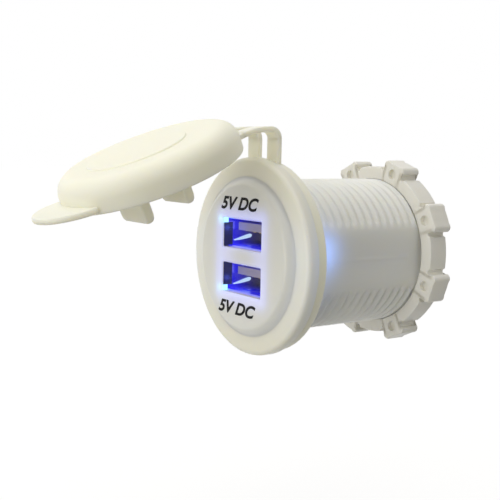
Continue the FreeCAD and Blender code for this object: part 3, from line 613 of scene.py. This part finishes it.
tab_line = [spot for spot in arc(0, TAB_CENTRE, TAB_RADIUS, -180, 0, 60) if math.hypot(*spot) > TAB_ROOT]
first, last = (math.degrees(math.atan2(spot[1], spot[0])) for spot in (tab_line[0], tab_line[-1]))
tab_line += arc(0, 0, TAB_ROOT, last, first, 15)[1:-1]
tab_middle = np.mean(tab_line, 0)
tilt_cos, tilt_sin = math.cos(math.radians(TAB_TILT)), math.sin(math.radians(TAB_TILT))
tab_levels = []
for lift, inward in TAB_EDGE:
    loop = []
    for spot in tab_line:
        way = np.array(spot) - tab_middle
        a, s = np.array(spot) - inward * way / np.linalg.norm(way)
        loop.append((a, s * tilt_cos + lift * tilt_sin, TAB_LEVEL - s * tilt_sin + lift * tilt_cos))
    tab_levels.append(loop)

stub_parts = []
for middle in STRAP_MIDDLES:
    loop = rounded_rectangle(STRAP_WIDTH / 2, STRAP_THICKNESS / 2, STRAP_ROUND, 3)
    stub_parts.append(loft([[(middle + a, away, STUB_LEVEL + b) for a, b in loop]
                            for away in (LID_RADIUS - 0.7, LID_RADIUS + 1.0)]))

plug_parts = []
for low, high in PLUG_SPANS:
    levels = []
    for height, rise, shrink in PLUG_LEVELS:
        bottom, top = low + rise, high - shrink
        half = (top - bottom) / 2
        loop = rounded_rectangle(PLUG_WIDTH / 2 - shrink, half, min(PLUG_ROUND, half - 0.02))
        levels.append([(a, (top + bottom) / 2 + b, height) for a, b in loop])
    plug_parts.append(loft(levels))

lid = mesh_object("cover_lid_rubber", open_lid(disc[0]), disc[1])
added = []
for points, faces in (loft(pad_levels), loft(tab_levels), *stub_parts, *plug_parts):
    added.append(mesh_object("lid_part", open_lid(points), faces))
cut_away(lid, added, "UNION")
wear(lid, rubber)
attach(lid, "lid")
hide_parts("cover_lid")

# Ring nut
# Moulded nut that clamps the panel from behind. Eight lugs for the fingers, each with a curved face, round
# corners and a blind dimple in its front.
NUT_FRONT = 26.4
NUT_BACK = 30.8
NUT_RADIUS = 17.0
NUT_BORE = 14.55
NUT_ROUND = 0.32
LUG_RADIUS = 18.6
LUG_HALF = 2.7
LUG_CORNER = 0.8
LUG_ROOT = 0.5
LUG_FACE = (-1.3, -0.65, 0.0, 0.65, 1.3)
LUG_COUNT = 8
LUG_ANGLE = 25.0
DIMPLE_RADIUS = 1.05
DIMPLE_CIRCLE = 16.5


def round_corners(corners, steps=4):
    """A closed outline from (a, b, radius) corners, each replaced by an arc of that radius."""
    outline = []
    count = len(corners)
    for number, (a, b, radius) in enumerate(corners):
        here = Vector((a, b))
        if not radius:
            outline.append((a, b))
            continue
        before = (Vector(corners[number - 1][:2]) - here).normalized()
        after = (Vector(corners[(number + 1) % count][:2]) - here).normalized()
        half = before.angle(after) / 2
        reach = radius / math.tan(half)
        centre = here + (before + after).normalized() * radius / math.sin(half)
        start, end = here + before * reach - centre, here + after * reach - centre
        for step in range(steps + 1):
            outline.append(tuple(centre + start.slerp(end, step / steps)))
    return outline


def inset(outline, distance):
    """The outline moved inward along its own normals."""
    spots = np.array(outline)
    ways = np.roll(spots, -1, 0) - np.roll(spots, 1, 0)
    normals = np.stack([ways[:, 1], -ways[:, 0]], 1)
    normals /= np.linalg.norm(normals, axis=1, keepdims=True)
    return spots - distance * normals


def on_circle(radius, angle):
    """The point of a circle about the axis at an angle in degrees."""
    return arc(0, 0, radius, angle, angle, 1)[0]


corners = []
edge = math.sqrt(LUG_RADIUS ** 2 - LUG_HALF ** 2)
root = math.degrees(math.asin(LUG_HALF / NUT_RADIUS))
for lug in range(LUG_COUNT):
    middle = LUG_ANGLE + lug * 360 / LUG_COUNT
    way = Vector((math.cos(math.radians(middle)), math.sin(math.radians(middle))))
    across = Vector((-way.y, way.x))
    corners.append((*on_circle(NUT_RADIUS, middle - root), LUG_ROOT))
    corners.append((*(way * edge - across * LUG_HALF), LUG_CORNER))
    corners += [(*(way * math.sqrt(LUG_RADIUS ** 2 - shift ** 2) + across * shift), 0) for shift in LUG_FACE]
    corners.append((*(way * edge + across * LUG_HALF), LUG_CORNER))
    corners.append((*on_circle(NUT_RADIUS, middle + root), LUG_ROOT))
    gap = 360 / LUG_COUNT - 2 * root
    corners += [(*spot, 0) for spot in arc(0, 0, NUT_RADIUS, middle + root + gap / 9,
                                           middle + root + gap * 8 / 9, 7)]
outline = round_corners(corners)
loops = []
for along, inward in ((NUT_FRONT, NUT_ROUND), (NUT_FRONT + 0.1, 0.1), (NUT_FRONT + NUT_ROUND, 0.0),
                      (NUT_BACK - NUT_ROUND, 0.0), (NUT_BACK - 0.1, 0.1), (NUT_BACK, NUT_ROUND)):
    loops.append([(a, along, b) for a, b in inset(outline, inward)])
for along in (NUT_BACK, NUT_FRONT):
    loops.append([(NUT_BORE * a / math.hypot(a, b), along, NUT_BORE * b / math.hypot(a, b))
                  for a, b in outline])
loops.append(loops[0])
nut = mesh_object("ring_nut_moulding", *loft(loops, cap=False))
dimples = []
for lug in range(LUG_COUNT):
    middle = LUG_ANGLE + lug * 360 / LUG_COUNT
    centre = on_circle(DIMPLE_CIRCLE, middle)
    levels = [[(a, NUT_FRONT + depth, b) for a, b in arc(*centre, DIMPLE_RADIUS - taper, 0, 345, 23)]
              for depth, taper in ((-0.5, 0.0), (0.8, 0.1), (0.9, 0.3))]
    dimples.append(mesh_object("dimple_cutter", *loft(levels)))
cut_away(nut, dimples)
nut_plastic, nodes, links, main = shader("nut_plastic", (0.87, 0.85, 0.78), 0.36, scatter=0.2)
add_grain(nodes, links, main, GRAIN_SCALE, GRAIN_DEPTH)
wear(nut, nut_plastic)
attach(nut, "nut")
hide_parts("ring_nut")

# Rear cap
# White moulded plastic disc that closes the barrel behind, with a slot for each terminal. The photograph
# doesn't show it, so its shape is a usual one.
cap_plastic, nodes, links, main = shader("cap_plastic", (0.84, 0.83, 0.77), 0.5)
add_grain(nodes, links, main, GRAIN_SCALE, GRAIN_DEPTH)
wear(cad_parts["rear_cap"], cap_plastic)

# Terminals and header pins
# Two spade terminals of stamped and tinned brass, held by the rear cap and soldered to the power board. The
# header pins, of the same metal, join the two boards.
brass, nodes, links, main = shader("tinned_brass", (0.78, 0.74, 0.62), 0.22, metallic=1.0)
for name in ("terminal_positive", "terminal_negative", "header_pins"):
    wear(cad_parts[name], brass)

# Boards
# Green coated glass-fibre boards inside the barrel: one behind the ports, which carries them and the lamps,
# and one along the barrel for the converter.
board_green, nodes, links, main = shader("board_green", (0.02, 0.16, 0.06), 0.4)
for name in ("port_board", "power_board"):
    wear(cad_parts[name], board_green)

# Parts on the power board
# The converter's parts, soldered to the board: ferrite core, enamelled copper winding, two aluminium cans
# and two moulded packages.
ferrite, nodes, links, main = shader("ferrite", (0.06, 0.06, 0.065), 0.6)
copper, nodes, links, main = shader("enamelled_copper", (0.55, 0.22, 0.09), 0.3, metallic=0.8)
can_sleeve, nodes, links, main = shader("can_sleeve", (0.42, 0.43, 0.46), 0.3, metallic=0.9)
package, nodes, links, main = shader("package", (0.02, 0.02, 0.022), 0.55)
for name, material in (("inductor_core", ferrite), ("inductor_winding", copper),
                       ("input_capacitor", can_sleeve), ("output_capacitor", can_sleeve),
                       ("converter_chip", package), ("rectifier_diode", package)):
    wear(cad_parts[name], material)

# Backdrop and light
# White to the camera, with plain fill and three broad lamps. The low one stands for the light that a table
# throws back: it shines up through the floor, 60 mm under the part, which blocks no light.
FILL = 0.42
LAMPS = (("overhead", (-0.2, -0.45, 1.0), 1.46, 95), ("front", (0.1, -1.0, -0.05), 0.65, 50),
         ("table", (-0.05, -0.85, -0.42), 0.95, 60))
FLOOR_LEVEL = -60
FLOOR_HALF = 3000
FLOOR_WHITE = 0.76
FLOOR_SEEN = (0.30, 0.30, 0.30)
FLOOR_COLOUR = (0.22, 0.22, 0.21)


def seen_directly(nodes, links):
    """1 for the camera's rays and for reflections, else 0."""
    rays = nodes.new("ShaderNodeLightPath")
    return math_node(nodes, links, "MAXIMUM", rays.outputs["Is Camera Ray"], rays.outputs["Is Glossy Ray"])


world = bpy.data.worlds.new("studio")
bpy.context.scene.world = world
world.use_nodes = True
nodes, links = world.node_tree.nodes, world.node_tree.links
nodes.clear()
seen = nodes.new("ShaderNodeBackground")
seen.inputs["Color"].default_value = (1, 1, 1, 1)
seen.inputs["Strength"].default_value = 1.0
fill = nodes.new("ShaderNodeBackground")
fill.inputs["Color"].default_value = (1.0, 0.985, 0.95, 1)
fill.inputs["Strength"].default_value = FILL
mix = nodes.new("ShaderNodeMixShader")
end = nodes.new("ShaderNodeOutputWorld")
links.new(seen_directly(nodes, links), mix.inputs[0])
links.new(fill.outputs[0], mix.inputs[1])
links.new(seen.outputs[0], mix.inputs[2])
links.new(mix.outputs[0], end.inputs[0])
for name, way, strength, spread in LAMPS:
    lamp = bpy.data.lights.new(name, "SUN")
    lamp.energy = strength
    lamp.angle = math.radians(spread)
    lamp.color = (1.0, 0.99, 0.96)
    holder = bpy.data.objects.new(name, lamp)
    holder.rotation_euler = Vector(way).to_track_quat("Z", "Y").to_euler()
    bpy.context.collection.objects.link(holder)

floor_corners = [(a * FLOOR_HALF, b * FLOOR_HALF, FLOOR_LEVEL) for a, b in ((-1, -1), (1, -1), (1, 1), (-1, 1))]
floor = mesh_object("floor", floor_corners, [(0, 1, 2, 3)])
floor_look = bpy.data.materials.new("floor")
floor_look.use_nodes = True
nodes, links = floor_look.node_tree.nodes, floor_look.node_tree.links
nodes.clear()
pale = nodes.new("ShaderNodeBsdfDiffuse")
pale.inputs["Color"].default_value = (*FLOOR_COLOUR, 1)
shaded = nodes.new("ShaderNodeBsdfDiffuse")
shaded.inputs["Color"].default_value = (*FLOOR_SEEN, 1)
white = nodes.new("ShaderNodeEmission")
white.inputs["Strength"].default_value = FLOOR_WHITE
both = nodes.new("ShaderNodeAddShader")
choice = nodes.new("ShaderNodeMixShader")
end = nodes.new("ShaderNodeOutputMaterial")
links.new(shaded.outputs[0], both.inputs[0])
links.new(white.outputs[0], both.inputs[1])
links.new(seen_directly(nodes, links), choice.inputs[0])
links.new(pale.outputs[0], choice.inputs[1])
links.new(both.outputs[0], choice.inputs[2])
links.new(choice.outputs[0], end.inputs[0])
wear(floor, floor_look)
floor.visible_shadow = False

# Camera
# Close, level and from the right of the face, as in the photograph. Its place was fitted to points read off
# the photograph's outlines.
AZIMUTH = 54.887
ELEVATION = 6.355
ROLL = 1.092
DISTANCE = 170.54
SHIFT_RIGHT = -3.134
SHIFT_UP = 1.043
LENS = 64.8

az, el, roll = (math.radians(a) for a in (AZIMUTH, ELEVATION, ROLL))
forward = Vector((-math.sin(az) * math.cos(el), math.cos(az) * math.cos(el), -math.sin(el)))
level = Vector((math.cos(az), math.sin(az), 0))
upright = level.cross(forward)
right = level * math.cos(roll) + upright * math.sin(roll)
top = -level * math.sin(roll) + upright * math.cos(roll)
eye = (right * SHIFT_RIGHT + top * SHIFT_UP - forward * DISTANCE) * 0.001
camera_data = bpy.data.cameras.new("camera")
camera_data.lens = LENS
camera_data.sensor_width = 36
camera_data.clip_start = 0.005
camera = bpy.data.objects.new("camera", camera_data)
camera.matrix_world = Matrix.Translation(eye) @ Matrix((right, top, -forward)).transposed().to_4x4()
bpy.context.collection.objects.link(camera)
bpy.context.scene.camera = camera
bpy.context.scene.view_settings.view_transform = "Standard"
